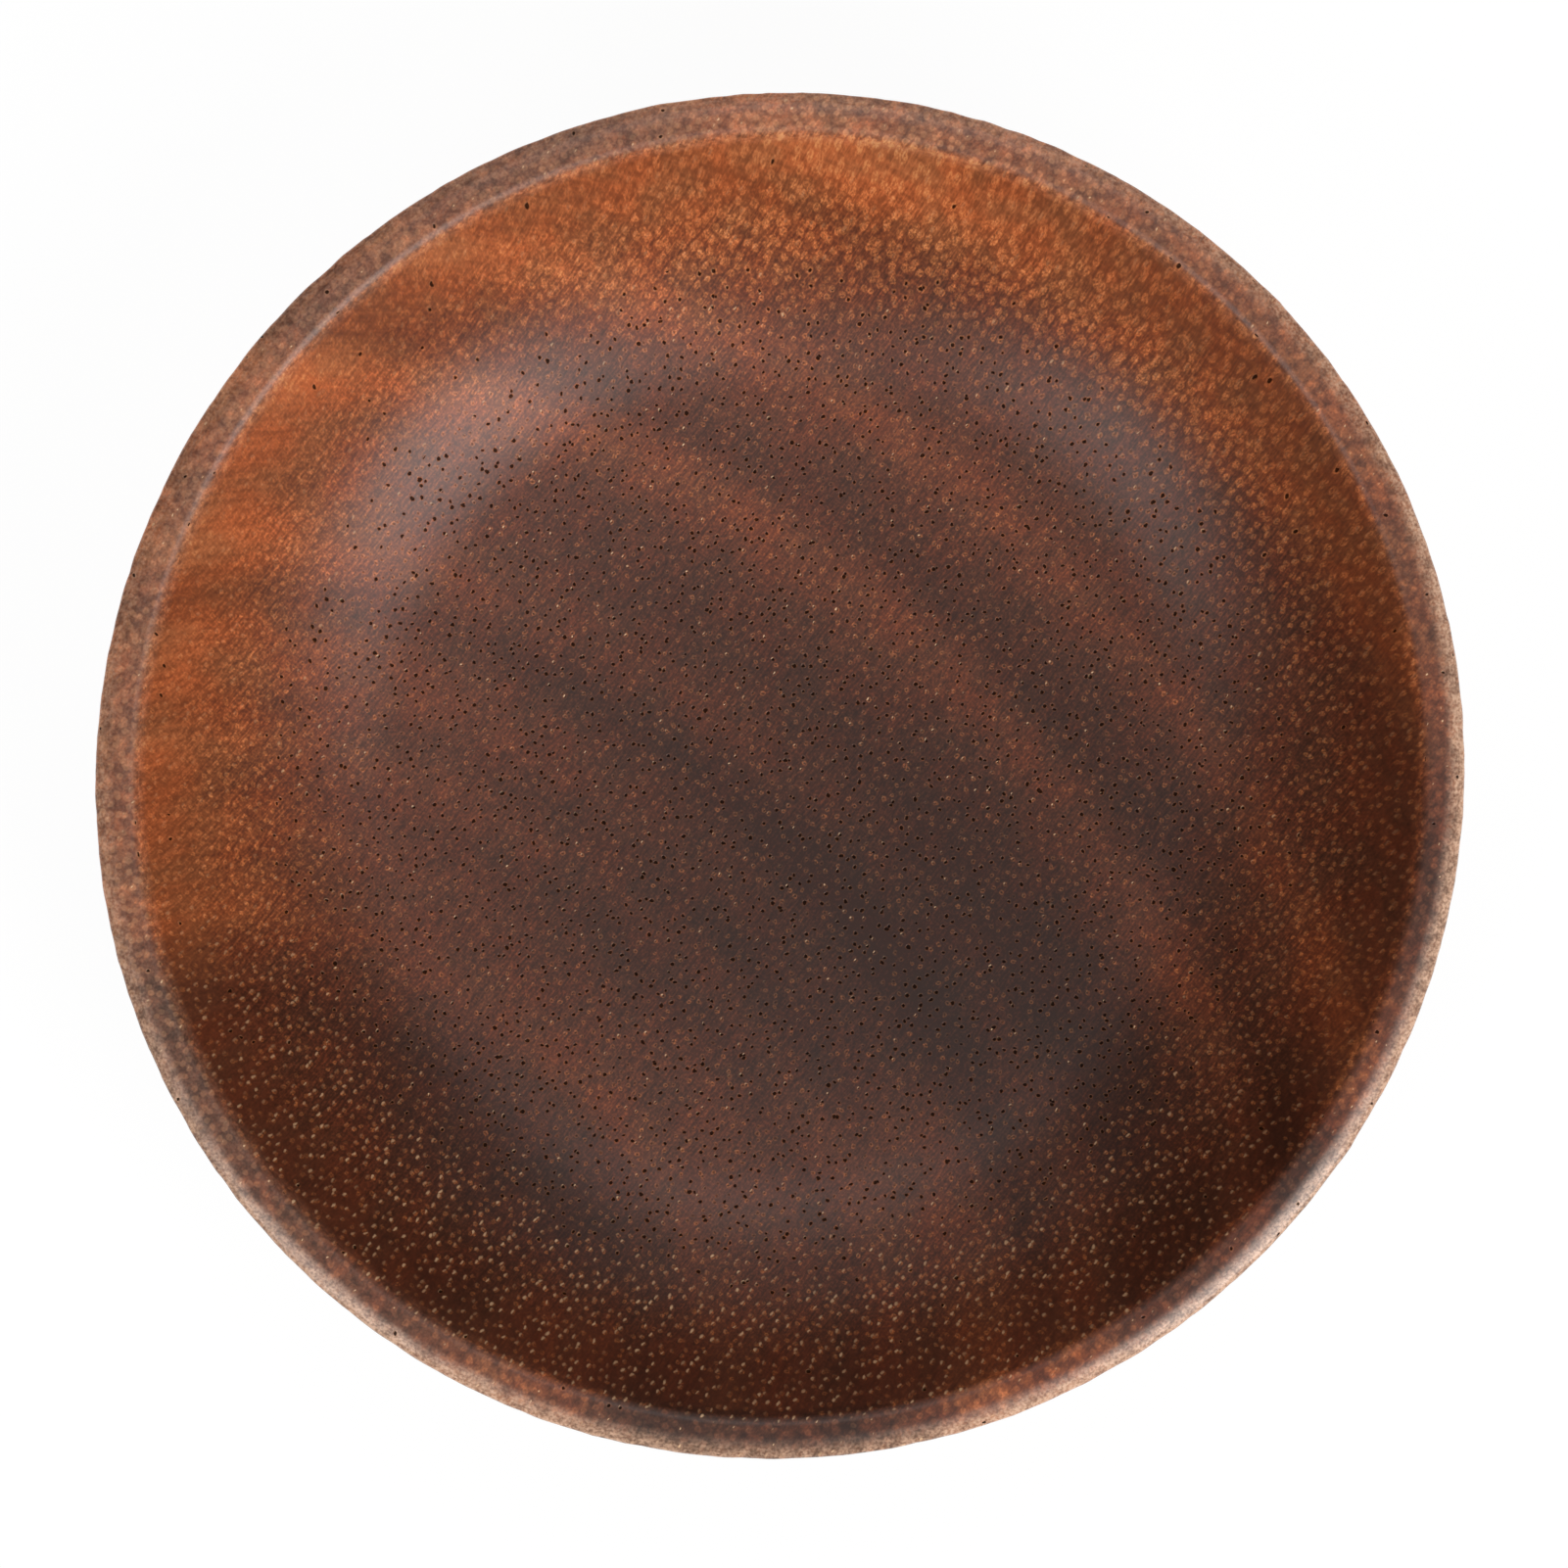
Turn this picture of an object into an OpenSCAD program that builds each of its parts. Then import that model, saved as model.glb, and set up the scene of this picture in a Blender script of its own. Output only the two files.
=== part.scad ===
// Dipping bowl, turned from one block of acacia: a shallow dished floor, a coved wall,
// a rim that is crowned towards its outside edge, and a foot that is hollowed a little underneath.
// Millimetres. The origin is at the middle of the foot, on the table, and +Z is up.
// The bowl is one solid of revolution. Its profile is drawn in (radius, height), and every
// round stretch of it is a true arc that meets its neighbours tangentially.

/* [Bowl] */
// Diameter across the outside of the rim
bowl_d = 90; // [84:1:110]
// Height from the table to the top of the rim
bowl_h = 25; // [23:0.5:30]

/* [Rim] */
// Width of the rim, from its inside corner to the outline
rim_w = 2.7; // [2.5:0.1:4]
// Radius of the crown that rolls off the top of the rim towards the outside
crown_r = 2.4; // [1.6:0.1:2.8]
// Slope at which the crown ends, from level, in degrees
crown_slope = 36; // [25:1:40]
// Radius of the tight edge between the crown and the outside
rim_edge_r = 0.35; // [0.2:0.05:0.6]
// Radius of the eased inside edge of the rim
lip_r = 0.9; // [0.4:0.1:1.1]

/* [Hollow] */
// Thickness of the wood under the middle of the floor
floor_t = 6; // [5:0.5:8]
// Radius of the floor's shallow dish
dish_r = 175; // [120:5:300]
// Radius of the cove that carries the floor up into the wall
cove_r = 18; // [12:1:20]
// Slope of the wall above the cove, from level, in degrees
wall_slope = 70; // [64:1:74]

/* [Outside] */
// Slope of the outside just under the rim, from level, in degrees
flare_slope = 80; // [76:1:84]
// Diameter of the foot, where the outside would meet the table
foot_d = 62; // [58:1:70]
// Radius of the eased edge round the foot
foot_edge_r = 0.8; // [0.4:0.1:1.5]
// Diameter of the hollow inside the ring that the bowl stands on
foot_hollow_d = 46; // [30:1:50]
// Depth of that hollow in the middle
foot_hollow_h = 0.8; // [0.4:0.1:1.5]

/* [Hidden] */
$fn = 180;

// Unit directions in the profile: straight up, straight down, along the wall, into the
// hollow square to the wall, and out of the wood square to the crown's end and to the
// outside under the rim
up = [0, 1];
down = [0, -1];
along_wall = [cos(wall_slope), sin(wall_slope)];
off_wall = [-sin(wall_slope), cos(wall_slope)];
off_crown = [sin(crown_slope), cos(crown_slope)];
off_flare = [sin(flare_slope), -cos(flare_slope)];

// Centres of the crown and of the tight edge that it runs into, set so that the crown touches
// the top of the rim and the bowl's widest point is at bowl_d
crown_c = [
    bowl_d / 2 - rim_edge_r - (crown_r - rim_edge_r) * off_crown.x,
    bowl_h - crown_r
];
edge_c = crown_c + (crown_r - rim_edge_r) * off_crown;

// The outside is one arc through the foot's corner that runs smoothly into the tight edge
foot_corner = [foot_d / 2, 0];
edge_to_foot = foot_corner - edge_c;
outside_r = (edge_to_foot * edge_to_foot - 2 * rim_edge_r * (edge_to_foot * off_flare) + pow(rim_edge_r, 2))
    / (2 * (rim_edge_r - edge_to_foot * off_flare));
outside_c = edge_c - (outside_r - rim_edge_r) * off_flare;

// Centre of the foot's eased edge, tangent to the table and to the outside arc
foot_c = [
    outside_c.x + sqrt(pow(outside_r - foot_edge_r, 2) - pow(outside_c.y - foot_edge_r, 2)),
    foot_edge_r
];
off_foot = (foot_c - outside_c) / norm(foot_c - outside_c);

// The rim's inside corner, and the centre of the eased edge that replaces it
lip_corner = [bowl_d / 2 - rim_w, bowl_h];
lip_c = lip_corner + lip_r * [tan(wall_slope / 2), -1];

// Centre of the cove, tangent to the wall's line and to the dish from inside
dish_c = [0, floor_t + dish_r];
wall_offset = lip_corner + cove_r * off_wall - dish_c;
wall_run = wall_offset * along_wall;
cove_c = lip_corner + cove_r * off_wall
    - (wall_run + sqrt(pow(wall_run, 2) - wall_offset * wall_offset + pow(dish_r - cove_r, 2))) * along_wall;
off_dish = (cove_c - dish_c) / norm(cove_c - dish_c);

// The hollow under the foot is part of a large sphere
foot_hollow_r = (pow(foot_hollow_d / 2, 2) + pow(foot_hollow_h, 2)) / (2 * foot_hollow_h);

// What lies outside a round edge, between the two directions in which it meets its neighbours.
// The disc is drawn a hair too large, so that it reaches both neighbours with no sliver left.
module edge_waste(centre, radius, from, to) {
    reach = 3;
    hair = 0.0003;
    difference() {
        polygon([
            centre,
            centre + reach * radius * from,
            centre + reach * radius * (from + to),
            centre + reach * radius * to
        ]);
        translate(centre) circle(r = radius + hair);
    }
}

// The inside of the bowl, open at the top
module hollow_profile() {
    above_rim = 5;
    wall_top = lip_corner + above_rim * along_wall / along_wall.y;
    wall_foot = lip_corner - bowl_h * along_wall / along_wall.y;
    difference() {
        intersection() {
            translate(dish_c) circle(r = dish_r);
            polygon([[0, 0], wall_foot, wall_top, [0, wall_top.y]]);
        }
        edge_waste(cove_c, cove_r, off_dish, -off_wall);
    }
}

// Half of the bowl's cross-section
module turned_profile() {
    difference() {
        intersection() {
            square([bowl_d, bowl_h]);
            translate(outside_c) circle(r = outside_r);
        }
        hollow_profile();
        edge_waste(crown_c, crown_r, up, off_flare);
        edge_waste(edge_c, rim_edge_r, off_crown, off_flare);
        edge_waste(lip_c, lip_r, up, off_wall);
        edge_waste(foot_c, foot_edge_r, down, off_foot);
        translate([0, foot_hollow_h - foot_hollow_r]) circle(r = foot_hollow_r);
    }
}

// The whole bowl, one piece of wood
module turned_bowl() {
    color("saddlebrown") rotate_extrude() turned_profile();
}

turned_bowl();
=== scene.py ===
import math

import bpy
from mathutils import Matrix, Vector


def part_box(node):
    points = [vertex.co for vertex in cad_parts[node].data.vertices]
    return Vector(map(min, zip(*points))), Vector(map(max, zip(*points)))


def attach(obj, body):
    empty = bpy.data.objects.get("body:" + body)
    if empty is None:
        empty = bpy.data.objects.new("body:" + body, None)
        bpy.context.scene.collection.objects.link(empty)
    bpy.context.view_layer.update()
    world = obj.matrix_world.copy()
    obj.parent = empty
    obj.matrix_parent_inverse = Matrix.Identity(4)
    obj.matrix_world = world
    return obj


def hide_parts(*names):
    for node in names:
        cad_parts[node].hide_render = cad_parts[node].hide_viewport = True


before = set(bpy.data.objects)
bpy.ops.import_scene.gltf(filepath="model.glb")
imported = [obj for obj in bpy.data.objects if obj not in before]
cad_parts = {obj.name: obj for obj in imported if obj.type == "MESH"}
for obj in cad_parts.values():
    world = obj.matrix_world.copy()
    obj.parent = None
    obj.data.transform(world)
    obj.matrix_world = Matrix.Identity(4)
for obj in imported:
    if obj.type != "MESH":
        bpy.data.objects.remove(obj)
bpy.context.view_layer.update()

MM = 0.001

# The bowl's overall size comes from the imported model; the rest are the turner's sizes, in metres
LOW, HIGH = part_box("turned_bowl")
RADIUS = (HIGH[0] - LOW[0]) / 2
HEIGHT = HIGH[2] - LOW[2]
RIM_WIDTH = 0.0027
CROWN_RADIUS = 0.0024
CROWN_SLOPE = math.radians(36)
RIM_EDGE = 0.00035
LIP_ROUND = 0.0009
FLOOR_THICKNESS = 0.006
DISH_RADIUS = 0.175
COVE_RADIUS = 0.018
WALL_SLOPE = math.radians(70)
FLARE_SLOPE = math.radians(80)
FOOT_RADIUS = 0.031
FOOT_EDGE = 0.0008
FOOT_HOLLOW_RADIUS = 0.023
FOOT_HOLLOW_DEPTH = 0.0008

# Wood shrinks more along its growth rings than across them, so a turned bowl dries slightly oval
OVAL = 0.0064
OVAL_LONG_WAY = math.radians(40)

# The turned mesh: its steps round the bowl, the distances at which points of the profile and of the mesh count
# as one, and its sharpest smooth edge
TURN_STEPS = 512
SAME_POINT = 0.0001 * MM
MERGE_DISTANCE = 0.002 * MM
SMOOTH_ANGLE = math.radians(40)

# Wear on the outside edge of the rim: how far it goes in and out, the size of the worn places, how far in from
# the edge and down from the top they lie, and the width over which they fade in
WEAR_DEPTH = 0.00016
WEAR_SIZE = 0.0016
WEAR_IN = 0.0012
WEAR_DOWN = 0.004
WEAR_FADE = 0.0008

# The photograph's frame: its width, the bowl's middle and the bowl's mean radius in it, in pixels
PHOTO_SIZE = 1601
PHOTO_MIDDLE = (795.9, 791.6)
PHOTO_RADIUS = 699.0
CAMERA_HEIGHT = 0.60
SENSOR = 0.036

# Soft lights, all at one distance: name, azimuth and elevation in degrees, width and height in metres, watts
LIGHT_DISTANCE = 0.9
SOFTBOXES = (
    ("softbox_front_right", -45, 41, 0.35, 0.8, 6.4),
    ("softbox_front_left", 225, 41, 0.3, 0.7, 2.8),
    ("softbox_high_behind", 88, 60, 0.5, 0.5, 1.75),
    ("softbox_low_behind", 90, 23, 1.2, 0.4, 0.9),
)

# The pale surround as the bowl and as the camera see it, and the card: its width, its colour, how much of it
# the camera sees as plain white and how white that is
SURROUND_STRENGTH = 0.05
BACKDROP_STRENGTH = 1.0
CARD_WIDTH = 6
CARD_COLOUR = "#f4f4f4"
CARD_WHITE_SHARE = 0.94
CARD_WHITE = 1.02


def linear(code):
    """The linear colour of an sRGB hex code."""
    parts = [int(code[i : i + 2], 16) / 255 for i in (1, 3, 5)]
    return [c / 12.92 if c <= 0.04045 else ((c + 0.055) / 1.055) ** 2.4 for c in parts] + [1.0]


def add(tree, kind, inputs=None, out=0, **settings):
    """One node with its settings; each input is a value or another node's output. Gives one of its outputs, or
    the node itself where out is None."""
    made = tree.nodes.new("ShaderNode" + kind)
    for name, value in settings.items():
        setattr(made, name, value)
    for name, value in (inputs or {}).items():
        if isinstance(value, bpy.types.NodeSocket):
            tree.links.new(value, made.inputs[name])
        else:
            made.inputs[name].default_value = value
    return made if out is None else made.outputs[out]


def arc(centre, radius, start, end, steps):
    """Points along an arc of the profile, from one angle to another, in degrees."""
    turns = [math.radians(start + (end - start) * i / steps) for i in range(steps + 1)]
    return [centre + radius * Vector((math.cos(t), math.sin(t))) for t in turns]


def turned_profile():
    """The bowl's half profile as points of radius and height, from the floor's middle over the rim to the
    middle of the foot."""
    along_wall = Vector((math.cos(WALL_SLOPE), math.sin(WALL_SLOPE)))
    off_wall = Vector((-math.sin(WALL_SLOPE), math.cos(WALL_SLOPE)))
    off_crown = Vector((math.sin(CROWN_SLOPE), math.cos(CROWN_SLOPE)))
    off_flare = Vector((math.sin(FLARE_SLOPE), -math.cos(FLARE_SLOPE)))
    lip_corner = Vector((RADIUS - RIM_WIDTH, HEIGHT))

    dish_centre = Vector((0, FLOOR_THICKNESS + DISH_RADIUS))
    offset = lip_corner + COVE_RADIUS * off_wall - dish_centre
    run = offset.dot(along_wall)
    reach = math.sqrt(run**2 - offset.length_squared + (DISH_RADIUS - COVE_RADIUS) ** 2)
    cove_centre = dish_centre + offset - (run + reach) * along_wall
    cove_start = math.degrees(math.atan2(*reversed(cove_centre - dish_centre)))
    cove_end = math.degrees(WALL_SLOPE) - 90

    lip_centre = lip_corner + LIP_ROUND * Vector((math.tan(WALL_SLOPE / 2), -1))
    crown_out = RADIUS - RIM_EDGE - (CROWN_RADIUS - RIM_EDGE) * off_crown.x
    crown_centre = Vector((crown_out, HEIGHT - CROWN_RADIUS))
    edge_centre = crown_centre + (CROWN_RADIUS - RIM_EDGE) * off_crown
    crown_end = 90 - math.degrees(CROWN_SLOPE)

    to_foot = Vector((FOOT_RADIUS, 0)) - edge_centre
    inward = to_foot.dot(off_flare)
    outside = (to_foot.length_squared - 2 * RIM_EDGE * inward + RIM_EDGE**2) / (2 * (RIM_EDGE - inward))
    outside_centre = edge_centre - (outside - RIM_EDGE) * off_flare
    foot_out = math.sqrt((outside - FOOT_EDGE) ** 2 - (outside_centre.y - FOOT_EDGE) ** 2)
    foot_centre = Vector((outside_centre.x + foot_out, FOOT_EDGE))
    flare_end = math.degrees(FLARE_SLOPE) - 90
    foot_end = math.degrees(math.atan2(*reversed(foot_centre - outside_centre)))

    hollow = (FOOT_HOLLOW_RADIUS**2 + FOOT_HOLLOW_DEPTH**2) / (2 * FOOT_HOLLOW_DEPTH)
    hollow_centre = Vector((0, FOOT_HOLLOW_DEPTH - hollow))
    hollow_start = math.degrees(math.acos(FOOT_HOLLOW_RADIUS / hollow))

    stretches = [
        arc(dish_centre, DISH_RADIUS, -90, cove_start, steps=12),
        arc(cove_centre, COVE_RADIUS, cove_start, cove_end, steps=28),
        arc(lip_centre, LIP_ROUND, 180 + cove_end, 90, steps=8),
        arc(crown_centre, CROWN_RADIUS, 90, crown_end, steps=8),
        arc(edge_centre, RIM_EDGE, crown_end, flare_end, steps=6),
        arc(outside_centre, outside, flare_end, foot_end, steps=24),
        arc(foot_centre, FOOT_EDGE, foot_end, -90, steps=5),
        arc(hollow_centre, hollow, hollow_start, 90, steps=10),
    ]
    points = []
    for stretch in stretches:
        for point in stretch:
            if not points or (point - points[-1]).length > SAME_POINT:
                points.append(point)
    return points


def turn_bowl():
    """The bowl as one closed mesh: its profile drawn point by point, then spun about the bowl's axis."""
    bpy.ops.object.select_all(action="DESELECT")
    points = turned_profile()
    bpy.ops.mesh.primitive_plane_add(size=MM, location=(points[0].x, 0, points[0].y))
    bowl = bpy.context.active_object
    bowl.name = "bowl_turned_acacia"
    bpy.ops.object.transform_apply(location=True, rotation=True, scale=True)
    bpy.ops.object.mode_set(mode="EDIT")
    bpy.ops.mesh.select_all(action="SELECT")
    bpy.ops.mesh.merge(type="CENTER")
    for before, after in zip(points, points[1:]):
        step = after - before
        bpy.ops.mesh.extrude_region_move(TRANSFORM_OT_translate={"value": (step.x, 0, step.y)})
    bpy.ops.mesh.select_all(action="SELECT")
    bpy.ops.mesh.spin(steps=TURN_STEPS, angle=math.tau, center=(0, 0, 0), axis=(0, 0, 1))
    bpy.ops.mesh.select_all(action="SELECT")
    bpy.ops.mesh.remove_doubles(threshold=MERGE_DISTANCE)
    bpy.ops.mesh.normals_make_consistent(inside=False)
    bpy.ops.transform.resize(value=(1 + OVAL, 1 - OVAL, 1), center_override=(0, 0, 0))
    bpy.ops.transform.rotate(value=-OVAL_LONG_WAY, orient_axis="Z", center_override=(0, 0, 0))
    bpy.ops.object.mode_set(mode="OBJECT")
    wear_edge(bowl)
    bpy.ops.object.shade_smooth_by_angle(angle=SMOOTH_ANGLE)
    return bowl


def wear_edge(bowl):
    """The small knocks and dents of use along the outside edge of the rim."""
    edge = bowl.vertex_groups.new(name="rim_edge")
    for vertex in bowl.data.vertices:
        out = math.hypot(vertex.co.x, vertex.co.y) - (RADIUS - WEAR_IN)
        if out > 0 and vertex.co.z > HEIGHT - WEAR_DOWN:
            edge.add([vertex.index], min(1, out / WEAR_FADE), "REPLACE")
    knocks = bpy.data.textures.new("rim_knocks", "CLOUDS")
    knocks.noise_scale = WEAR_SIZE
    knocks.noise_depth = 2
    wear = bowl.modifiers.new("rim_wear", "DISPLACE")
    wear.texture = knocks
    wear.texture_coords = "LOCAL"
    wear.strength = WEAR_DEPTH
    wear.mid_level = 0.5
    wear.vertex_group = edge.name
    bpy.ops.object.modifier_apply(modifier=wear.name)


# The wood's place in its tree, in millimetres from the bowl's axis at the floor's level: the tree's middle,
# how far its years and its vessels run sideways for each unit of height, and the way its rays run
PITH = (-48.4, -55.7, 0.0)
YEAR_LEAN = (-0.14, -0.14)
VESSEL_LEAN = (0.05, 0.12)
FLOOR_LEVEL = 7.0
RAY_DIRECTION = math.radians(52)

# Ways across the bowl as the photograph shows it
WAYS = {
    "back": (0.3, 0.95, 0),
    "front": (-0.15, -0.99, 0),
    "front_right": (0.5, -0.87, 0),
    "right": (0.94, -0.33, 0),
    "away_from_heart": (-0.7, 0.7, 0),
}

# The dark heart that the bowl was cut through: its middle, its half lengths along and across the bands, and
# its tone there and how much lighter one half length out, in stops of light
HEART_MIDDLE = (11.2, -11.3, 0.0)
HEART_SIZE = (52.0, 28.0, 1.0)
HEART_TURN = math.radians(-39)
HEART_TONE = -4.78
HEART_FADE = 2.56
HEART_REACH = 2.0

# Growth years by their distance from the tree's middle, in millimetres, and how light each is, in stops
YEARS = (
    (33.0, -2.45), (40.0, -2.65), (44.0, -2.6), (47.0, -1.85), (49.5, -1.1), (52.5, -1.2), (55.0, -1.05),
    (57.8, -1.2), (60.5, -0.7), (63.0, -0.95), (65.0, -0.6), (67.5, -0.5), (70.3, -1.0), (74.0, -0.2),
    (79.0, -0.7), (82.0, -0.6), (86.5, -0.1), (90.5, -1.35), (93.5, -1.2), (96.6, -0.75), (100.5, -1.65),
    (104.0, -2.0), (108.0, -2.45), (112.0, -2.05), (119.0, -2.7),
)
YEAR_TONES = (-2.8, 0.0)

# Places where the wood grew paler or darker, in millimetres: middle, half lengths, turn in degrees and stops
PATCHES = (
    ((2.0, 43.0, 0.0), (32.0, 15.0, 1.0), 0, 0.55),
    ((-4.0, -24.0, 0.0), (27.0, 10.0, 1.0), -20, 0.5),
    ((-14.0, -38.0, 0.0), (11.0, 8.0, 1.0), 0, 1.05),
    ((11.0, -26.0, 0.0), (10.0, 10.0, 1.0), 0, 0.5),
    ((29.0, -11.0, 0.0), (11.0, 10.0, 1.0), 0, 0.55),
    ((33.0, -26.0, 0.0), (12.0, 10.0, 1.0), 0, -0.3),
    ((18.0, -37.0, 0.0), (9.0, 8.0, 1.0), 0, 0.65),
    ((41.0, -14.0, 0.0), (9.0, 9.0, 1.0), 0, 0.45),
    ((-24.6, 26.4, 0.0), (6.0, 6.0, 1.0), 0, -0.3),
    ((-31.0, -12.0, 0.0), (6.0, 6.0, 1.0), 0, -0.3),
    ((-13.0, 14.0, 0.0), (18.0, 13.0, 1.0), -39, -0.35),
)

# How nearly a face runs with the grain, from 0 on a level cut to 1 on an upright one: where the floor turns
# into the wall, on the steep wall, on the level part of the rim, and down the rim's outside. Like the other
# ranges below, these are settings of Map Range nodes: what goes in, what comes out, or both
FLOOR_TO_WALL = {"From Min": 0.02, "From Max": 0.25}
STEEP_WALL = {"From Min": 0.3, "From Max": 0.65}
LEVEL_RIM = {"From Min": 0.4, "From Max": 0.15}
RIM_OUTSIDE = {"From Min": 1.0, "From Max": 0.6}

# How much lighter side grain is than end grain, in stops, and how much of that the front wall lacks
SIDE_GRAIN_LIGHTER = 1.8
FRONT_WALL_DARKER = 1.5
FRONT_HALF = {"From Min": 0.0, "From Max": -40.0}

# The uneven edge of the heart, the soft edge of a patch and the wander of the years, with sizes in millimetres
HEART_DRIFT_SIZE = 16.0
HEART_DRIFT = {"To Min": -0.06, "To Max": 0.06}
PATCH_EDGE = {"From Min": 1.0, "From Max": 0.2}
WANDER_SIZE = 8.0
WANDER = {"To Min": -0.6, "To Max": 0.6}

# Fine marks, by size in millimetres and depth in stops: the lines of the years, the strokes and wisps of the
# rays along and across, and the flecks; and the share of them that the wall and the rim show
NOISE_SPREAD = {"From Min": 0.25, "From Max": 0.75}
YEAR_LINE = (0.45, 3.0, 1.0)
YEAR_LINE_DEPTH = {"To Min": -0.4, "To Max": 0.4}
RAYS = (((0.9, 0.14, 1.0), 0.58), ((4.0, 0.6, 1.0), 0.25))
FLECK = 0.2
FLECK_DEPTH = {"From Min": 0.42, "From Max": 0.74, "To Min": 0.06, "To Max": 1.06}
CALM_SHARE = 0.5

# Vessels, in millimetres: from one to the next and how uneven that is, the size and the reach of the shake in
# their places, the radius of an open one from small to large and of a closed one, and a mouth's soft edge
VESSEL_SPACING = 0.68
VESSEL_UNEVEN = 0.9
JITTER_SIZE = 0.45
JITTER = (0.2, 0.2, 0)
OPEN_RADIUS = {"To Min": 0.08, "To Max": 0.13}
CLOSED_RADIUS = 0.055
MOUTH_EDGE = {"From Min": 0.045, "From Max": -0.03}

# From the floor to the wall and the rim: the share of vessels that are closed and how dark their pinholes are;
# and how dark an open mouth is
CLOSED_SHARE = {"To Min": 0.5, "To Max": 0.985}
PINHOLE_DARK = {"To Min": 0.4, "To Max": 0.08}
MOUTH_DARK = 0.92

# The pale sheath round a vessel: its narrowest and widest radius and that on the rim, in millimetres, where on
# the back wall it widens, its edge and its middle as shares of its radius, how pale it is towards the tree's
# middle and away from it, and how clear; and the crumbs that it is made of, in millimetres
SHEATH_RADIUS = {"To Min": 0.19, "To Max": 0.3}
SHEATH_RIM_RADIUS = 0.245
BACK_WALL = {"From Min": 15.0, "From Max": 32.0}
SHEATH_EDGE = {"From Min": 1.05, "From Max": 0.65}
SHEATH_MIDDLE = {"From Min": 0.15, "From Max": 0.6}
SHEATH_PALE = {"From Min": -14.0, "From Max": 14.0, "To Min": 0.85, "To Max": 1.0}
SHEATH_CLEAR = 0.95
CRUMB = 0.13
CRUMB_DEPTH = {"From Min": 0.3, "From Max": 0.65, "To Min": 0.15, "To Max": 1.2}
RIM_CRUMBS = 0.8

# From the floor to the wall and the rim: how filled a sheath is and how weak the weakest is; then its share on
# calm wood, on the dark front wall, and on the bright wall away from the heart
SHEATH_FILL = {"To Min": 0.55, "To Max": 1.0}
SHEATH_WEAKEST = {"To Min": 0.18, "To Max": 0.58}
SHEATH_SOFT = {"From Min": CALM_SHARE, "To Min": 0.75}
FRONT_WALL = {"From Min": 12.0, "From Max": 36.0}
SHEATH_AT_FRONT = {"To Min": 1.0, "To Max": 1.35}
SHEATH_FAINT = {"From Min": 26.0, "From Max": 38.0, "To Min": 1.0, "To Max": 0.55}

# The speck by a vessel, gum with a painted glint of light where the pit's edge catches the front lights: its
# half lengths and its place in millimetres, its soft edge, how it grows from the floor to the wall, its painted
# brightness from the back wall to the front, and how rare a bright one is
GUM_GLINT_SIZE = (0.19, 0.1, 1.0)
GUM_GLINT_PLACE = (0.02, 0.09, 0.0)
GUM_GLINT_EDGE = {"From Min": 1.0, "From Max": 0.3}
GUM_GLINT_GROWS = {"To Min": 0.6, "To Max": 1.25}
PAINTED_GLINT_AT_FRONT = {"To Min": 0.12, "To Max": 0.88}
GUM_GLINT_RARE_ON_FLOOR = 13.0
GUM_GLINT_RARE_ON_WALL = 2.0

# The rim, in millimetres below the bowl's top, and how far its crown has turned outwards
RIM_TOP = {"From Min": HEIGHT / MM - 1.6, "From Max": HEIGHT / MM - 0.6}
RIM_ROLLED = {"From Min": 0.05, "From Max": 0.6}

# The rim's own tone in stops: its mottle, by size in millimetres, how much lighter it is to the right, and the
# place at the front that took more oil, by its middle and half lengths in millimetres and its soft edge
MOTTLE_SIZE = 0.8
RIM_BLOTCH = {"From Min": 0.3, "From Max": 0.7, "To Min": -0.85, "To Max": 0.85}
RIM_TONE = {"From Min": -40.0, "From Max": 40.0, "To Min": 0.12, "To Max": 0.6}
OILY_PLACE = (0.0, -44.0, 24.0)
OILY_SIZE = (17.0, 9.0, 6.0)
OILY_EDGE = {"From Min": 1.0, "From Max": 0.3}
OILY_TONE = -1.25

# The dry wood of the rim: how dry its top is round the bowl, and how pale its outside edge is, dry wood with
# painted light that is strongest towards the front right lamp; how its mottle, streaks and grit break that up,
# and what the oily place leaves of it; streaks along and across and grit in millimetres
DRY_TOP = {"From Min": -40.0, "From Max": 44.0, "To Max": 0.17}
DRY_EDGE_PAINTED_LIGHT = {"From Min": -40.0, "From Max": 20.0, "To Min": 0.3, "To Max": 1.0}
DRY_MOTTLE = {"From Min": 0.36, "From Max": 0.6, "To Min": 0.5}
RIM_STREAK = (3.0, 0.16)
DRY_STREAKS = {"From Min": 0.34, "From Max": 0.54, "To Min": 0.75}
RIM_GRIT = 0.2
DRY_GRIT = {"From Min": 0.36, "From Max": 0.62, "To Min": 0.6, "To Max": 1.25}
DRY_SOAKED = {"To Min": 1.0, "To Max": 0.6}

# Tones of the oiled wood from the darkest to the lightest, and the stops of light that they stand for
WOOD_TONES = ("#35190f", "#4d2718", "#6e3823", "#99522f", "#d47545", "#fba468")
TONE_RANGE = {"From Min": -4.8, "From Max": 0.45}

# Tints of greyer and redder wood, and the size of their patches in millimetres
GREYER, REDDER = "#eefcff", "#fff8ee"
TINT_SIZE = 3.2
TINT_SPREAD = {"From Min": 0.35, "From Max": 0.65}

# Colours of an oiled sheath, a dry one on the rim, gum with its painted glint, the dry rim with its painted
# light, and a vessel's mouth
OILED_SHEATH, DRY_SHEATH, GUM_AND_PAINTED_GLINT, DRY_WOOD_AND_PAINTED_LIGHT, MOUTH = "#dc8e4e", "#d8a478", "#ecc498", "#dcb498", "#0f0806"

# How much lighter a sheath is than its wood, in stops, off the rim and on it; and how much of its own colour it
# has, from the wall to the floor, and round the rim from the heart's side to the dry side
SHEATH_LIGHTER = {"To Min": 1.25, "To Max": 1.1}
SHEATH_TAN = {"From Min": CALM_SHARE, "To Min": 0.2, "To Max": 0.22}
RIM_SHEATH_TAN = {"From Min": -5.0, "From Max": 30.0, "To Min": 0.06, "To Max": 0.5}

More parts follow.
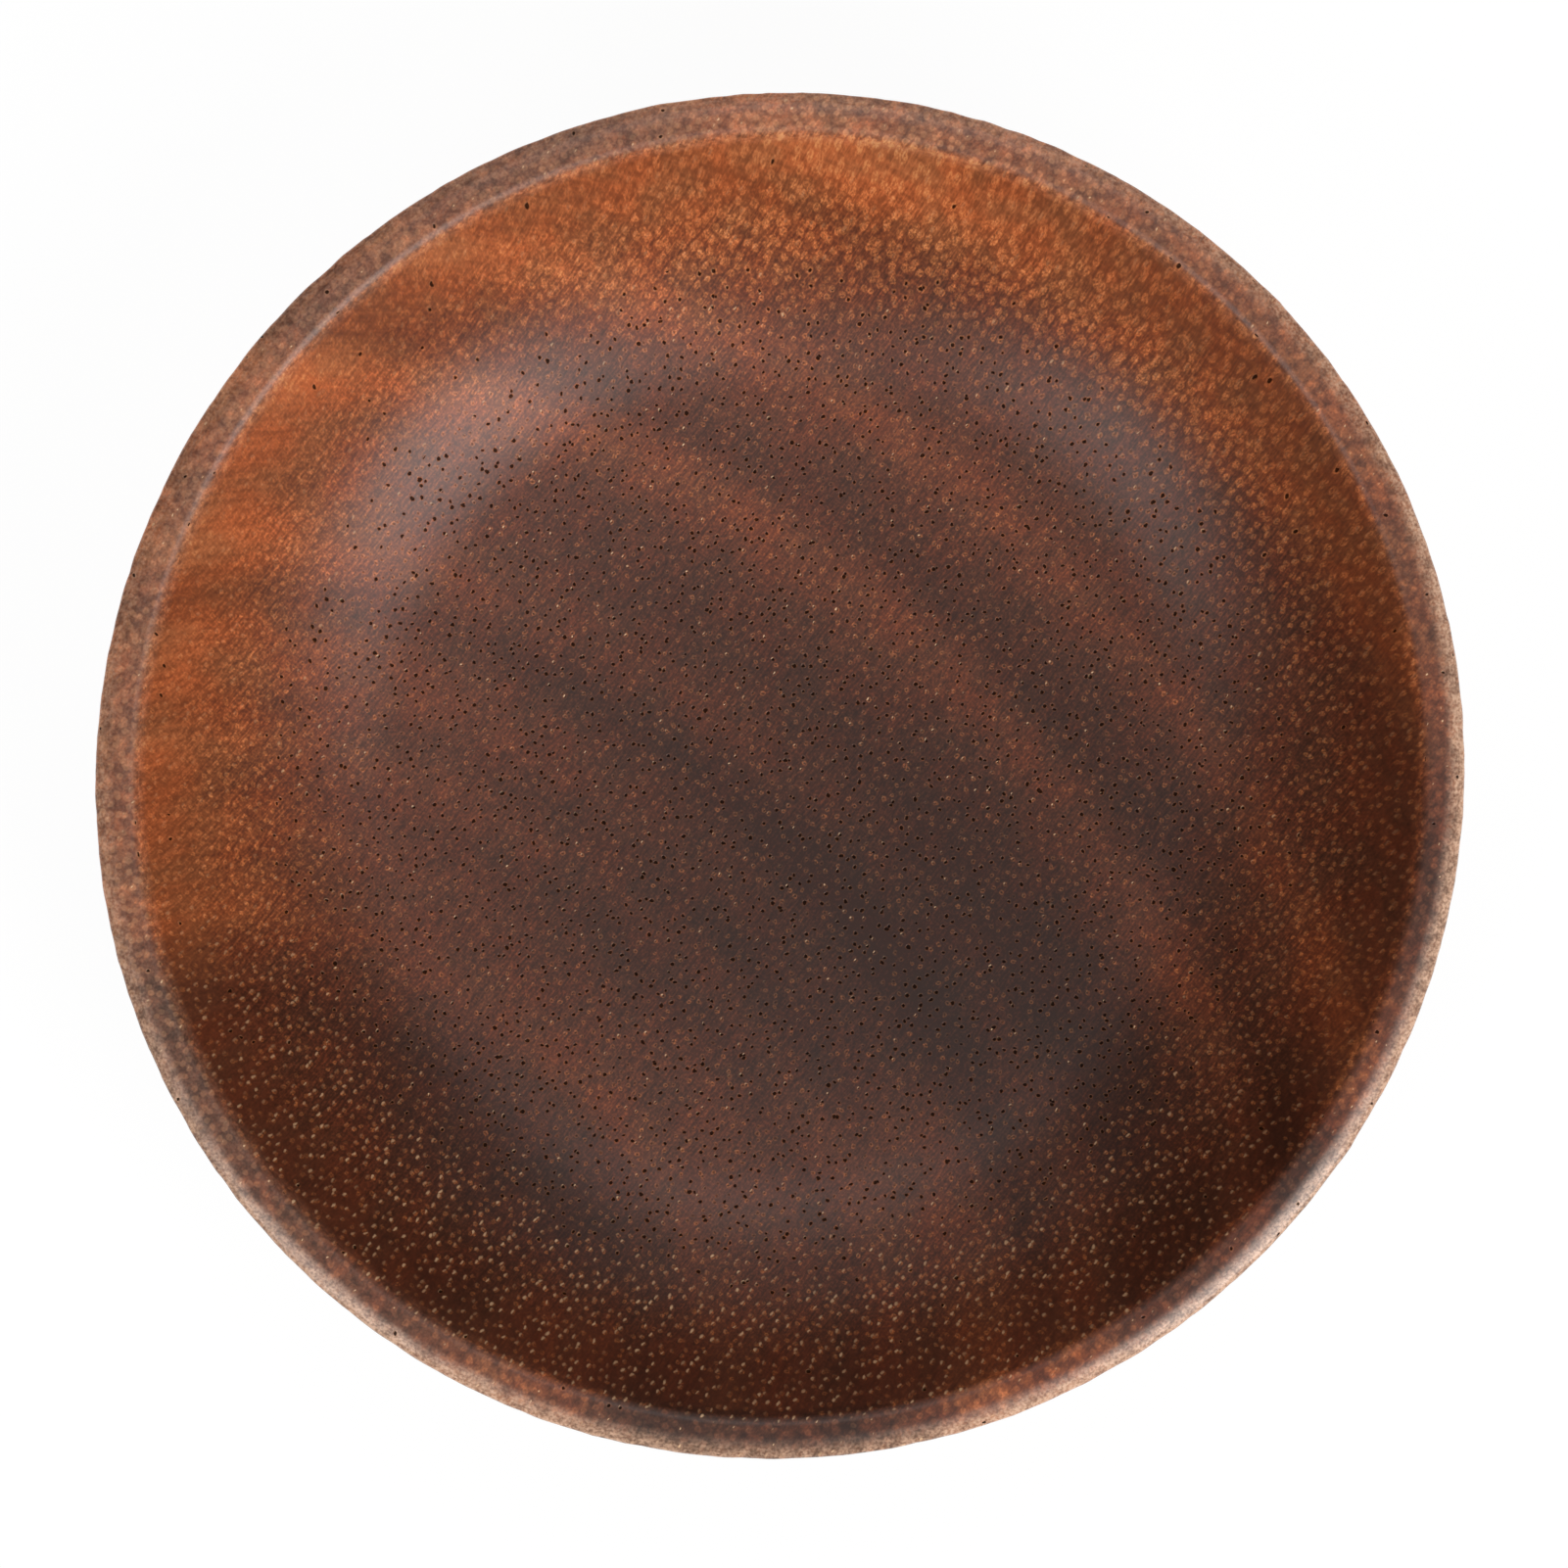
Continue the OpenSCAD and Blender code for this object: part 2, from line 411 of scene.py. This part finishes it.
# The oil's satin film: its roughness, less where handling has burnished the rim, its strength, none in a
# vessel's mouth, and the relief of the vessels under it, with how far a sheath stands up for a mouth's depth
FILM_ROUGHNESS = {"To Min": 0.43, "To Max": 0.27}
FILM_STRENGTH = {"To Min": 0.5, "To Max": 0.0}
RELIEF_DEPTH = 0.05 * MM
RELIEF_STRENGTH = 0.6
SHEATH_STANDS = 0.15


def grain_place(tree):
    """Where a point lies in the tree, in millimetres: its place in the bowl, its height, its level place
    carried along the years and along the vessels to the floor's height, the latter turned to run with the
    rays, how nearly its face runs with the grain, and how far the face looks outwards."""
    coordinate = add(tree, "TexCoord", out=None)
    mm = add(tree, "VectorMath", {0: coordinate.outputs["Object"], "Scale": 1 / MM}, operation="SCALE")
    height = add(tree, "SeparateXYZ", {0: mm}, out="Z")
    rise = add(tree, "Math", {0: height, 1: FLOOR_LEVEL}, operation="SUBTRACT")
    level = add(tree, "VectorMath", {0: mm, 1: (1, 1, 0)}, operation="MULTIPLY")
    carried = []
    for lean in (YEAR_LEAN, VESSEL_LEAN):
        carry = (-lean[0], -lean[1], 0)
        carried.append(add(tree, "VectorMath", {0: rise, 1: carry, 2: level}, operation="MULTIPLY_ADD"))
    grain, along_vessels = carried
    rows = add(
        tree, "VectorRotate", {"Vector": along_vessels, "Angle": -RAY_DIRECTION}, rotation_type="Z_AXIS"
    )
    normal = coordinate.outputs["Normal"]
    end_grain = add(tree, "Math", {0: add(tree, "SeparateXYZ", {0: normal}, out="Z")}, operation="ABSOLUTE")
    side_grain = add(tree, "Math", {0: 1.0, 1: end_grain}, operation="SUBTRACT")
    away = add(tree, "VectorMath", {0: level}, operation="NORMALIZE")
    outwards = add(tree, "VectorMath", {0: normal, 1: away}, operation="DOT_PRODUCT", out="Value")
    return mm, height, grain, rows, side_grain, outwards


def grown_tone(tree, grain, rows, side_grain, rim):
    """How light the wood is, in stops: darkest in the heart, banded by its years, stroked by fine rays, and
    lighter where the cut runs along the grain, because end grain drinks more oil. With it, how much of its
    fine marks the wood shows."""
    heart = add(
        tree,
        "Mapping",
        {"Vector": grain, "Location": HEART_MIDDLE, "Rotation": (0, 0, HEART_TURN), "Scale": HEART_SIZE},
        vector_type="TEXTURE",
    )
    reach = add(tree, "VectorMath", {0: heart}, operation="LENGTH", out="Value")
    drift = add(
        tree,
        "TexNoise",
        {"Vector": grain, "Scale": 1 / HEART_DRIFT_SIZE, "Detail": 3.0},
        noise_dimensions="2D",
    )
    drift = add(tree, "MapRange", {"Value": drift, **HEART_DRIFT})
    reach = add(tree, "Math", {0: drift, 1: reach}, operation="ADD")
    palest = HEART_TONE + HEART_REACH * HEART_FADE
    tone = add(
        tree, "MapRange", {"Value": reach, "From Max": HEART_REACH, "To Min": HEART_TONE, "To Max": palest}
    )

    for middle, size, turn, stops in PATCHES:
        rotation = (0, 0, math.radians(turn))
        patch = add(
            tree,
            "Mapping",
            {"Vector": grain, "Location": middle, "Rotation": rotation, "Scale": size},
            vector_type="TEXTURE",
        )
        out_from = add(tree, "VectorMath", {0: patch}, operation="LENGTH", out="Value")
        patch = add(
            tree,
            "MapRange",
            {"Value": out_from, **PATCH_EDGE, "To Max": stops},
            interpolation_type="SMOOTHSTEP",
        )
        tone = add(tree, "Math", {0: tone, 1: patch}, operation="ADD")

    wander = add(
        tree, "TexNoise", {"Vector": grain, "Scale": 1 / WANDER_SIZE, "Detail": 4.0}, noise_dimensions="2D"
    )
    wander = add(tree, "MapRange", {"Value": wander, **WANDER})
    distance = add(tree, "VectorMath", {0: grain, 1: PITH}, operation="DISTANCE", out="Value")
    distance = add(tree, "Math", {0: distance, 1: wander}, operation="ADD")
    first, last = YEARS[0][0], YEARS[-1][0]
    darkest, lightest = YEAR_TONES
    age = add(tree, "MapRange", {"Value": distance, "From Min": first, "From Max": last})
    years = add(tree, "ValToRGB", {0: age}, out=None)
    years.color_ramp.interpolation = "EASE"
    elements = years.color_ramp.elements
    for index, (where, stops) in enumerate(YEARS):
        position = (where - first) / (last - first)
        element = elements[index] if index < 2 else elements.new(position)
        element.position = position
        element.color = [(stops - darkest) / (lightest - darkest)] * 3 + [1]
    banded = add(tree, "MapRange", {"Value": years.outputs[0], "To Min": darkest, "To Max": lightest})
    tone = add(tree, "Math", {0: tone, 1: banded}, operation="ADD")

    # Side grain is lighter than end grain, least so on the front wall
    lighter = add(
        tree,
        "MapRange",
        {
            "Value": add(tree, "SeparateXYZ", {0: grain}, out="Y"),
            **FRONT_HALF,
            "To Min": SIDE_GRAIN_LIGHTER,
            "To Max": SIDE_GRAIN_LIGHTER - FRONT_WALL_DARKER,
        },
    )
    tone = add(tree, "Math", {0: side_grain, 1: lighter, 2: tone}, operation="MULTIPLY_ADD")

    # The steep wall is cut nearly along the grain: it shows the fine lines of the years, and its rays and
    # flecks less, and so does the rim, which was sanded most
    along_year = add(tree, "SeparateXYZ", {0: rows}, out="Y")
    lines = add(tree, "CombineXYZ", {0: distance, 1: along_year})
    lines = add(tree, "Mapping", {"Vector": lines, "Scale": YEAR_LINE}, vector_type="TEXTURE")
    lines = add(tree, "TexNoise", {"Vector": lines, "Scale": 1.0, "Detail": 2.0}, noise_dimensions="2D")
    lines = add(tree, "MapRange", {"Value": lines, **NOISE_SPREAD, **YEAR_LINE_DEPTH})
    tone = add(tree, "Math", {0: lines, 1: side_grain, 2: tone}, operation="MULTIPLY_ADD")
    calm = add(tree, "MapRange", {"Value": side_grain, **STEEP_WALL, "To Min": 1.0, "To Max": CALM_SHARE})
    calm = add(tree, "MapRange", {"Value": rim, "To Min": calm, "To Max": CALM_SHARE})
    for size, depth in RAYS:
        strokes = add(tree, "Mapping", {"Vector": rows, "Scale": size}, vector_type="TEXTURE")
        rays = add(tree, "TexNoise", {"Vector": strokes, "Scale": 1.0, "Detail": 1.0}, noise_dimensions="2D")
        rays = add(tree, "MapRange", {"Value": rays, **NOISE_SPREAD, "To Min": -depth, "To Max": depth})
        tone = add(tree, "Math", {0: rays, 1: calm, 2: tone}, operation="MULTIPLY_ADD")
    flecks = add(tree, "TexNoise", {"Vector": rows, "Scale": 1 / FLECK, "Detail": 1.0}, noise_dimensions="2D")
    flecks = add(tree, "MapRange", {"Value": flecks, **FLECK_DEPTH})
    tone = add(tree, "Math", {0: flecks, 1: calm, 2: tone}, operation="MULTIPLY_ADD")
    return tone, calm


def vessels(tree, ways, rows, side_grain, rim, calm):
    """The wood's vessels, one to a cell: the pale sheath round each, a ring on the floor and filled on the wall
    and the rim, the dark mouth of an open one or the pinhole of a closed one, and the gold speck beside it,
    gum with a painted glint where the edge of the pit catches the light."""
    jitter = add(
        tree,
        "TexNoise",
        {"Vector": rows, "Scale": 1 / JITTER_SIZE, "Detail": 1.0},
        noise_dimensions="2D",
        out="Color",
    )
    shaken = add(tree, "VectorMath", {0: jitter, 1: JITTER, 2: rows}, operation="MULTIPLY_ADD")
    cells = add(
        tree,
        "TexVoronoi",
        {"Vector": shaken, "Scale": 1 / VESSEL_SPACING, "Randomness": VESSEL_UNEVEN},
        voronoi_dimensions="2D",
        out=None,
    )
    place = add(tree, "VectorMath", {0: shaken, 1: cells.outputs["Position"]}, operation="SUBTRACT")
    away = add(tree, "VectorMath", {0: place}, operation="LENGTH", out="Value")
    luck = add(tree, "SeparateColor", {0: cells.outputs["Color"]}, out=None)
    wall = add(tree, "MapRange", {"Value": side_grain, **FLOOR_TO_WALL})
    wall_or_rim = add(tree, "Math", {0: wall, 1: rim}, operation="MAXIMUM")
    front = add(tree, "MapRange", {"Value": ways["front"], **FRONT_WALL})

    # Sheaths are widest on the back wall, palest on the side away from the tree's middle, stand out most on
    # the dark front wall and are faint on the bright wall away from the heart
    widest = add(tree, "MapRange", {"Value": ways["back"], **BACK_WALL, **SHEATH_RADIUS})
    reach = add(tree, "MapRange", {"Value": wall, "To Min": SHEATH_RADIUS["To Min"], "To Max": widest})
    reach = add(tree, "MapRange", {"Value": rim, "To Min": reach, "To Max": SHEATH_RIM_RADIUS})
    share = add(tree, "Math", {0: away, 1: reach}, operation="DIVIDE")
    sheath = add(tree, "MapRange", {"Value": share, **SHEATH_EDGE}, interpolation_type="SMOOTHSTEP")
    filled = add(tree, "MapRange", {"Value": wall_or_rim, **SHEATH_FILL})
    ring = add(
        tree, "MapRange", {"Value": share, **SHEATH_MIDDLE, "To Min": filled}, interpolation_type="SMOOTHSTEP"
    )
    weakest = add(tree, "MapRange", {"Value": wall_or_rim, **SHEATH_WEAKEST})
    strength = add(tree, "MapRange", {"Value": luck.outputs["Red"], "To Min": weakest})
    outward = add(tree, "SeparateXYZ", {0: rows}, out="X")
    pale = add(tree, "MapRange", {"Value": outward, **SHEATH_PALE})
    crumbs = add(tree, "TexNoise", {"Vector": rows, "Scale": 1 / CRUMB, "Detail": 1.0}, noise_dimensions="2D")
    crumbs = add(tree, "MapRange", {"Value": crumbs, **CRUMB_DEPTH})
    crumbs = add(tree, "MapRange", {"Value": rim, "To Min": crumbs, "To Max": RIM_CRUMBS})
    soft = add(tree, "MapRange", {"Value": calm, **SHEATH_SOFT})
    stands_out = add(tree, "MapRange", {"Value": front, **SHEATH_AT_FRONT})
    faint = add(tree, "MapRange", {"Value": ways["away_from_heart"], **SHEATH_FAINT})
    for part in (ring, strength, pale, SHEATH_CLEAR, crumbs, soft, stands_out, faint):
        sheath = add(tree, "Math", {0: sheath, 1: part}, operation="MULTIPLY")

    # Specks of gum with a painted glint lie slim along the rays, beside the vessel where its edge catches the
    # light: one by nearly every vessel on the wall, painted brightest at the front where the pits face the
    # front lights, and a few small bright ones on the floor
    speck = add(
        tree, "Mapping", {"Vector": place, "Location": GUM_GLINT_PLACE, "Scale": GUM_GLINT_SIZE}, vector_type="TEXTURE"
    )
    beside = add(tree, "VectorMath", {0: speck}, operation="LENGTH", out="Value")
    grows = add(tree, "MapRange", {"Value": wall, **GUM_GLINT_GROWS})
    beside = add(tree, "Math", {0: beside, 1: grows}, operation="DIVIDE")
    gum_and_painted_glint = add(tree, "MapRange", {"Value": beside, **GUM_GLINT_EDGE}, interpolation_type="SMOOTHSTEP")
    few = add(tree, "Math", {0: luck.outputs["Green"], 1: GUM_GLINT_RARE_ON_FLOOR}, operation="POWER")
    many = add(tree, "Math", {0: luck.outputs["Green"], 1: GUM_GLINT_RARE_ON_WALL}, operation="POWER")
    painted_glint_at_front = add(tree, "MapRange", {"Value": front, **PAINTED_GLINT_AT_FRONT})
    many = add(tree, "Math", {0: many, 1: painted_glint_at_front}, operation="MULTIPLY")
    bright = add(tree, "MapRange", {"Value": wall, "To Min": few, "To Max": many})
    gum_and_painted_glint = add(tree, "Math", {0: gum_and_painted_glint, 1: bright}, operation="MULTIPLY")

    # Half of the vessels on the floor are open, and nearly all on the wall and the rim are closed
    closed = add(tree, "MapRange", {"Value": wall_or_rim, **CLOSED_SHARE})
    is_open = add(tree, "Math", {0: luck.outputs["Blue"], 1: closed}, operation="GREATER_THAN")
    radius = add(tree, "MapRange", {"Value": luck.outputs["Red"], **OPEN_RADIUS})
    radius = add(tree, "MapRange", {"Value": is_open, "To Min": CLOSED_RADIUS, "To Max": radius})
    edge = add(tree, "Math", {0: away, 1: radius}, operation="SUBTRACT")
    mouth = add(tree, "MapRange", {"Value": edge, **MOUTH_EDGE}, interpolation_type="SMOOTHSTEP")
    pinhole = add(tree, "MapRange", {"Value": wall_or_rim, **PINHOLE_DARK})
    dark = add(tree, "MapRange", {"Value": is_open, "To Min": pinhole, "To Max": MOUTH_DARK})
    mouth = add(tree, "Math", {0: mouth, 1: dark}, operation="MULTIPLY")
    return sheath, mouth, gum_and_painted_glint


def oiled_acacia():
    """Acacia cut across the grain, turned, sanded and oiled: dark red-brown years, open vessels with pale
    sheaths and gold gum specks with painted glints, fine rays, a satin film over the floor, and a rim edge that
    has stayed dry and pale, with painted light that makes it palest towards the front right lamp."""
    material = bpy.data.materials.new("acacia_turned_sanded_oiled")
    material.use_nodes = True
    tree = material.node_tree
    tree.nodes.clear()
    mm, height, grain, rows, side_grain, outwards = grain_place(tree)
    ways = {}
    for name, way in WAYS.items():
        ways[name] = add(tree, "VectorMath", {0: mm, 1: way}, operation="DOT_PRODUCT", out="Value")

    # The rim: the top face with the crown that rolls off it, and how far that face has turned outwards
    top = add(tree, "MapRange", {"Value": height, **RIM_TOP})
    level = add(tree, "MapRange", {"Value": side_grain, **LEVEL_RIM})
    rim = add(tree, "Math", {0: top, 1: level}, operation="MULTIPLY")
    rolled = add(tree, "MapRange", {"Value": outwards, **RIM_ROLLED}, interpolation_type="SMOOTHSTEP")

    # The wood's tone: as it grew, then the blotches of the rim, then the sheaths
    tone, calm = grown_tone(tree, grain, rows, side_grain, rim)
    sheath, mouth, gum_and_painted_glint = vessels(tree, ways, rows, side_grain, rim, calm)
    mottle = add(tree, "TexNoise", {"Vector": mm, "Scale": 1 / MOTTLE_SIZE, "Detail": 3.0, "Roughness": 0.6})
    blotch = add(tree, "MapRange", {"Value": mottle, **RIM_BLOTCH})
    rim_tone = add(tree, "MapRange", {"Value": ways["right"], **RIM_TONE})
    blotch = add(tree, "Math", {0: blotch, 1: rim_tone}, operation="ADD")
    oily = add(
        tree, "Mapping", {"Vector": mm, "Location": OILY_PLACE, "Scale": OILY_SIZE}, vector_type="TEXTURE"
    )
    oily = add(tree, "VectorMath", {0: oily}, operation="LENGTH", out="Value")
    oily = add(tree, "MapRange", {"Value": oily, **OILY_EDGE}, interpolation_type="SMOOTHSTEP")
    blotch = add(tree, "Math", {0: oily, 1: OILY_TONE, 2: blotch}, operation="MULTIPLY_ADD")
    tone = add(tree, "Math", {0: blotch, 1: top, 2: tone}, operation="MULTIPLY_ADD")
    lighter = add(tree, "MapRange", {"Value": rim, **SHEATH_LIGHTER})
    tone = add(tree, "Math", {0: sheath, 1: lighter, 2: tone}, operation="MULTIPLY_ADD")
    shade = add(tree, "MapRange", {"Value": tone, **TONE_RANGE})
    wood = add(tree, "ValToRGB", {0: shade}, out=None)
    elements = wood.color_ramp.elements
    for index, code in enumerate(WOOD_TONES):
        position = index / (len(WOOD_TONES) - 1)
        element = elements[index] if index < 2 else elements.new(position)
        element.position = position
        element.color = linear(code)
    colour = wood.outputs[0]

    # Patches of redder and greyer wood, a few millimetres across
    tint = add(
        tree, "TexNoise", {"Vector": grain, "Scale": 1 / TINT_SIZE, "Detail": 3.0}, noise_dimensions="2D"
    )
    tint = add(tree, "MapRange", {"Value": tint, **TINT_SPREAD})
    tint = add(tree, "Mix", {0: tint, 6: linear(GREYER), 7: linear(REDDER)}, data_type="RGBA", out=2)
    colour = add(tree, "Mix", {0: 1.0, 6: colour, 7: tint}, data_type="RGBA", blend_type="MULTIPLY", out=2)

    # Sheaths have some colour of their own, most on the dry side of the rim, and gum is gold with a painted
    # glint
    oiled_tan = add(tree, "MapRange", {"Value": calm, **SHEATH_TAN})
    rim_tan = add(tree, "MapRange", {"Value": ways["away_from_heart"], **RIM_SHEATH_TAN})
    tan = add(tree, "MapRange", {"Value": rim, "To Min": oiled_tan, "To Max": rim_tan})
    tan = add(tree, "Math", {0: sheath, 1: tan}, operation="MULTIPLY")
    own = add(tree, "Mix", {0: rim, 6: linear(OILED_SHEATH), 7: linear(DRY_SHEATH)}, data_type="RGBA", out=2)
    colour = add(tree, "Mix", {0: tan, 6: colour, 7: own}, data_type="RGBA", out=2)
    colour = add(tree, "Mix", {0: gum_and_painted_glint, 6: colour, 7: linear(GUM_AND_PAINTED_GLINT)}, data_type="RGBA", out=2)

    # The rim was sanded last and drank little oil: dry and mottled, more so on the side away from the heart,
    # and driest on its outside edge, which also carries painted light, palest towards the front right lamp
    dry_top = add(tree, "MapRange", {"Value": ways["away_from_heart"], **DRY_TOP})
    # Painted light: the outside edge is made paler towards the front right lamp
    dry_edge_painted_light = add(tree, "MapRange", {"Value": ways["front_right"], **DRY_EDGE_PAINTED_LIGHT})
    dry_and_painted_light = add(tree, "MapRange", {"Value": rolled, "To Min": dry_top, "To Max": dry_edge_painted_light})
    mottle = add(tree, "MapRange", {"Value": mottle, **DRY_MOTTLE})
    radius = add(tree, "VectorMath", {0: mm, 1: (1, 1, 0)}, operation="MULTIPLY")
    radius = add(tree, "VectorMath", {0: radius}, operation="LENGTH", out="Value")
    round_rim = add(tree, "Math", {0: radius, 1: RIM_STREAK[0] / RIM_STREAK[1]}, operation="MULTIPLY")
    round_rim = add(tree, "CombineXYZ", {2: round_rim})
    round_rim = add(tree, "VectorMath", {0: mm, 1: (1, 1, 0), 2: round_rim}, operation="MULTIPLY_ADD")
    streaks = add(tree, "TexNoise", {"Vector": round_rim, "Scale": 1 / RIM_STREAK[0], "Detail": 2.0})
    streaks = add(tree, "MapRange", {"Value": streaks, **DRY_STREAKS})
    grit = add(tree, "TexNoise", {"Vector": mm, "Scale": 1 / RIM_GRIT, "Detail": 2.0})
    grit = add(tree, "MapRange", {"Value": grit, **DRY_GRIT})
    outside = add(tree, "MapRange", {"Value": side_grain, **RIM_OUTSIDE})
    soaked = add(tree, "MapRange", {"Value": oily, **DRY_SOAKED})
    for part in (top, mottle, streaks, grit, outside, soaked):
        dry_and_painted_light = add(tree, "Math", {0: dry_and_painted_light, 1: part}, operation="MULTIPLY")
    colour = add(tree, "Mix", {0: dry_and_painted_light, 6: colour, 7: linear(DRY_WOOD_AND_PAINTED_LIGHT)}, data_type="RGBA", out=2)
    colour = add(tree, "Mix", {0: mouth, 6: colour, 7: linear(MOUTH)}, data_type="RGBA", out=2)

    # A satin film that leaves the vessels' mouths dull; handling has burnished the outside of the rim
    burnished = add(tree, "Math", {0: rolled, 1: top}, operation="MULTIPLY")
    roughness = add(tree, "MapRange", {"Value": burnished, **FILM_ROUGHNESS})
    film = add(tree, "MapRange", {"Value": mouth, **FILM_STRENGTH})
    sunk = add(tree, "Math", {0: mouth, 1: -1.0}, operation="MULTIPLY")
    sunk = add(tree, "Math", {0: sheath, 1: SHEATH_STANDS, 2: sunk}, operation="MULTIPLY_ADD")
    relief = add(tree, "Bump", {"Strength": RELIEF_STRENGTH, "Distance": RELIEF_DEPTH, "Height": sunk})
    shader = add(
        tree,
        "BsdfPrincipled",
        {"Base Color": colour, "Roughness": roughness, "Specular IOR Level": film, "Normal": relief},
    )
    add(tree, "OutputMaterial", {"Surface": shader}, out=None)
    return material


def white_floor():
    """Matt white card under the bowl: white to the camera, with a faint shadow left on it."""
    bpy.ops.object.select_all(action="DESELECT")
    bpy.ops.mesh.primitive_plane_add(size=CARD_WIDTH, location=(0, 0, 0))
    floor = bpy.context.active_object
    floor.name = "white_card"
    material = bpy.data.materials.new("card_matt_white")
    material.use_nodes = True
    tree = material.node_tree
    tree.nodes.clear()
    path = add(tree, "LightPath", out=None)
    seen = path.outputs["Is Camera Ray"]
    for ray in ("Is Glossy Ray", "Is Transmission Ray"):
        seen = add(tree, "Math", {0: seen, 1: path.outputs[ray]}, operation="MAXIMUM")
    share = add(tree, "Math", {0: seen, 1: CARD_WHITE_SHARE}, operation="MULTIPLY")
    matt = add(tree, "BsdfDiffuse", {"Color": linear(CARD_COLOUR)})
    glow = add(tree, "Emission", {"Color": (1, 1, 1, 1), "Strength": CARD_WHITE})
    mixed = add(tree, "MixShader", {0: share, 1: matt, 2: glow})
    add(tree, "OutputMaterial", {"Surface": mixed}, out=None)
    floor.data.materials.append(material)


def softbox(name, azimuth, elevation, width, height, watts):
    """A soft light that faces the bowl from an azimuth and an elevation, in degrees."""
    turn, lift = math.radians(azimuth), math.radians(elevation)
    way = Vector((math.cos(lift) * math.cos(turn), math.cos(lift) * math.sin(turn), math.sin(lift)))
    aim = Vector((0, 0, HEIGHT / 2))
    bpy.ops.object.light_add(type="AREA", location=aim + LIGHT_DISTANCE * way)
    lamp = bpy.context.active_object
    lamp.name = name
    lamp.rotation_euler = way.to_track_quat("Z", "Y").to_euler()
    lamp.data.shape = "RECTANGLE"
    lamp.data.size = width
    lamp.data.size_y = height
    lamp.data.energy = watts


def studio_light():
    """Two soft lights in front, the right one stronger, a high and a low one behind, and a pale surround."""
    for lamp in SOFTBOXES:
        softbox(*lamp)
    world = bpy.data.worlds.new("pale_studio")
    bpy.context.scene.world = world
    world.use_nodes = True
    tree = world.node_tree
    tree.nodes.clear()
    seen = add(tree, "LightPath", out="Is Camera Ray")
    surround = add(tree, "Background", {"Color": (1, 1, 1, 1), "Strength": SURROUND_STRENGTH})
    backdrop = add(tree, "Background", {"Color": (1, 1, 1, 1), "Strength": BACKDROP_STRENGTH})
    mixed = add(tree, "MixShader", {0: seen, 1: surround, 2: backdrop})
    add(tree, "OutputWorld", {"Surface": mixed}, out=None)


def overhead_camera():
    """A long lens straight above the bowl, framed as the photograph is."""
    pixel = RADIUS / PHOTO_RADIUS
    centre = (PHOTO_SIZE - 1) / 2
    across = (centre - PHOTO_MIDDLE[0]) * pixel
    up = -(centre - PHOTO_MIDDLE[1]) * pixel
    bpy.ops.object.camera_add(location=(across, up, HEIGHT + CAMERA_HEIGHT), rotation=(0, 0, 0))
    camera = bpy.context.active_object
    camera.name = "overhead_camera"
    camera.data.sensor_width = SENSOR / MM
    camera.data.lens = SENSOR / MM * CAMERA_HEIGHT / (PHOTO_SIZE * pixel)
    camera.data.clip_start = 0.01
    bpy.context.scene.camera = camera


bpy.context.scene.view_settings.view_transform = "Standard"
overhead_camera()
studio_light()
white_floor()

bowl = turn_bowl()
bowl.data.materials.append(oiled_acacia())
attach(bowl, "root")
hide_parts("turned_bowl")
